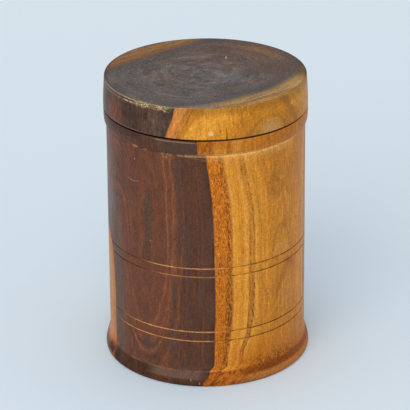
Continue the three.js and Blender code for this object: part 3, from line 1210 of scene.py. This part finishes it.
def lid_face(place, in_front, in_back, depth, back_depth):
    """Colour of the lid's top."""
    x, y, out, far_from = place.x, place.y, place.out, place.from_middle
    clouds = place.noise(13, 50, 3, 0.55)
    stray = (clouds - 0.5) * 9
    arcs = speckle((out + stray) / 2.4, place.east * 2.2, place.north * 2.2, 3, 0.65) - 0.5
    marks = speckle((out + stray) * 0.9, place.east * 5 + 9, place.north * 5, 3, 0.65) - 0.5
    mottle = place.noise(1.4, 20, 2, 0.7) - 0.5
    reddish = (clouds + x / 600 + y / 900 - 0.01).rise(0.42, 0.62)
    dark = stained(clouds, ((0.3, (74, 69, 67)), (0.5, (84, 77, 73)), (0.7, (94, 84, 79))))
    dark.wipe((100, 74, 62), reddish * 0.6)
    dark.wipe((92, 62, 42), y.rise(-4, 40) * 0.5)
    centre = out.rise(40, 12)
    dark.light(arcs * (centre * 0.7 + 0.7) + marks * (centre * 0.5 + 0.8) + mottle * 1.1 + 1)
    borders = depth.rise(-9, -1.5).most(back_depth.rise(-12, -2))
    dark.wipe((68, 66, 66), borders * 0.7)
    # Painted sheen in arcs round the middle.
    sheen = speckle((out + stray) / 4, place.east * 1.6, place.north * 1.6 + 7, 2, 0.5)
    dark.light((sheen - 0.5) * 0.9 + 1)
    sheen = sheen.rise(0.52, 0.66)
    dark.wipe((122, 114, 116), sheen * centre * 0.34)
    warm = far_from(22, 14).rise(20, 5)
    dark.wipe((108, 76, 60), warm * arcs.rise(-0.12, 0.12) * 0.55)
    patch = far_from(31, 28).rise(17, 6) * out.near(41.5, 4.5)
    dark.wipe((130, 92, 52), patch * (mottle.rise(-0.15, 0.1) * 0.6 + 0.3))
    patch = far_from(-12, -17).rise(10, 2) * mottle.rise(-0.1, 0.15)
    dark.wipe((104, 70, 50), patch * 0.7)
    for levels, spot, edge, core, strength in lid_clouds_and_painted_light:
        dark.wipe(levels, far_from(*spot).rise(edge, core) * strength)
    sweep_arc = far_from(0, 4).near(40, 2.2) * far_from(-17, -33).rise(16, 5)
    dark.wipe((128, 118, 116), sweep_arc * marks.rise(-0.1, 0.15) * 0.55)

    rays = speckle(depth * 0.9, x / 18, 0, 3, 0.65) - 0.5
    tan = stained(depth, ((-2, (88, 76, 66)), (0, (104, 84, 62)), (1.6, (124, 98, 62)),
                          (3.5, (146, 114, 68)), (6, (156, 122, 72)), (8, (140, 104, 58)),
                          (11, (152, 110, 58)), (15, (138, 96, 48))))
    tan.light(rays * 2.8 + mottle * 0.9 + 1)
    tan.wipe((178, 140, 80), far_from(42, -12).rise(16, 5) * 0.5)
    shady = rays.rise(0.05, 0.2) * far_from(46, 12).rise(34, 8)
    tan.wipe((84, 62, 38), shady * 0.6)
    tan.wipe((112, 98, 92), far_from(-8, -50).rise(24, 8) * 0.5)
    tan.wipe((92, 62, 28), far_from(50, 6).rise(20, 6) * 0.8)
    back_rays = speckle(back_depth * 0.8, x / 16, 6, 3, 0.65) - 0.5
    brown = stained(back_depth, ((-1, (86, 68, 58)), (0, (92, 68, 50)), (2.5, (112, 78, 48)),
                                 (5, (130, 88, 44)), (9, (132, 91, 48)), (15, (120, 90, 58))))
    brown.light(back_rays * 2.2 + mottle * 0.9 + 1)
    brown.wipe((108, 62, 44), far_from(-49, 8).rise(10, 3) * 0.6)
    colour = dark.toward(brown, in_back).toward(tan, in_front)
    # Painted shade on the top's rounded edge toward the back.
    colour.light(out.rise(48.3, 49.8) * y.rise(-40, 10) * -0.5 + 1)

    specks = place.noise(0.8, 20, 2, 0.7)
    speckled = far_from(-24, 2).rise(24, 6) * 0.06
    specks = (specks + speckled).rise(0.66, 0.74)
    colour.wipe((158, 152, 146), specks * in_front.rest() * in_back.rest() * 0.75)
    east, north = x - 10.5, y - 20.5
    sliver = (east * east * 6 + north * north * 0.5).rise(1.6, 0.3)
    colour.wipe((210, 196, 170), sliver * 0.7)
    colour.wipe((50, 46, 46), far_from(-0.8, -0.3).rise(1.6, 0.4) * 0.6)
    return colour


# %% Lid wood
lid_wood, tree, surface = start_wood("lid_wood")
here = Place(tree)
depth = lid_front(here)
back_depth = lid_back(here)
in_front = depth.rise(-0.25, 0.3)
in_back = back_depth.rise(-0.5, 1)
streaky = (speckle(depth * 1.3, here.x / 12, 8, 3, 0.65) - 0.5) * 5
front_above = (depth + streaky).rise(-2.6, 2.6)
streaky = (speckle(back_depth * 1.2, here.x / 12, 9, 3, 0.65) - 0.5) * 5
back_above = (back_depth + streaky).rise(-4, 3)
beside = lid_side(here, in_front, in_back, depth, back_depth)
above = lid_face(here, front_above, back_above, depth, back_depth)
on_top = here.z.rise(lid_top - 0.35, lid_top - 0.05)
colour = beside.toward(above, on_top)
print(f"lid wood of {len(tree.nodes)} nodes so far")

# %% [markdown]
# Wear on the lid. The dark side has a ragged crescent along its top edge, rubbed through to
# an olive cream, with a hair of pale wood on the very edge and another low down by the joint.
# The joint itself is black with dirt.

# %% Wear on the lid
side, z, skin = here.side, here.z, here.skin
dark_wood = in_front.rest() * on_top.rest() * skin
patches = speckle(side / 2.2, 2, z / 0.9, 3, 0.75)
ragged = z + (patches - 0.5) * 5.2
crescent = side.between(-72, -25, 9)
above_line = z.near(147.1, 0.6) * side.between(-74, -46, 6)
rubbed = ragged.rise(145.3, 146.4) * crescent * above_line.rest() * dark_wood
bare = side.near(-47.5, 5) + side.near(-37.5, 7.5) + side.near(-24.5, 6) + 0.3
colour.wipe((50, 38, 32), above_line * dark_wood * 0.5)
colour.wipe((108, 90, 58), rubbed * 0.7)
crumbs = speckle(side * 0.9, 12, z * 1.3, 2, 0.7).rise(0.44, 0.6)
colour.wipe((208, 186, 136), rubbed * crumbs * bare * 0.75)
edge_hair = z.near(147.9, 0.5) * side.between(-70, -20, 14)
colour.wipe((150, 128, 110), edge_hair * 0.55)
low_hair = z.near(133, 0.45) * side.between(-74, -36, 8) * dark_wood
colour.wipe((150, 112, 92), low_hair * 0.3)
joint = z.rise(132.75, 132.45) * skin
colour.wipe((16, 9, 6), joint * in_front.rest().most(side.rise(12, 0)))
colour.wipe((72, 28, 6), joint * in_front * side.rise(80, 50) * 0.9)
finish_wood(tree, surface, here, colour)
turned_lid.data.materials.append(lid_wood)
print(f"lid wood of {len(tree.nodes)} nodes")

# %% [markdown]
# The table is a plain pale blue-grey sheet, large enough to fill the picture. A studio sheet
# curves up behind the piece and catches more light there. This one is flat, so it gets a
# little lighter toward the back instead.

# %% Table
table_half = 3
work = bmesh.new()
bmesh.ops.create_grid(work, x_segments=1, y_segments=1, size=table_half)
bmesh.ops.translate(work, vec=(0, 0, -0.0001), verts=work.verts)
table = finished(work, "table")
table_paint = bpy.data.materials.new("table_paint")
table_paint.use_nodes = True
paint = table_paint.node_tree.nodes["Principled BSDF"]
far = Place(table_paint.node_tree).y.rise(20, 700)
sheet = stained(far, ((0, (213, 228, 240)), (1, (228, 241, 250))))
feed(paint.inputs["Base Color"], sheet)
paint.inputs["Roughness"].default_value = 0.8
table.data.materials.append(table_paint)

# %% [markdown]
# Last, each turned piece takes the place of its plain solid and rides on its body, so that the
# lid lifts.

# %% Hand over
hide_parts("jar")
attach(turned_jar, "jar")
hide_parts("lid")
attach(turned_lid, "lid")
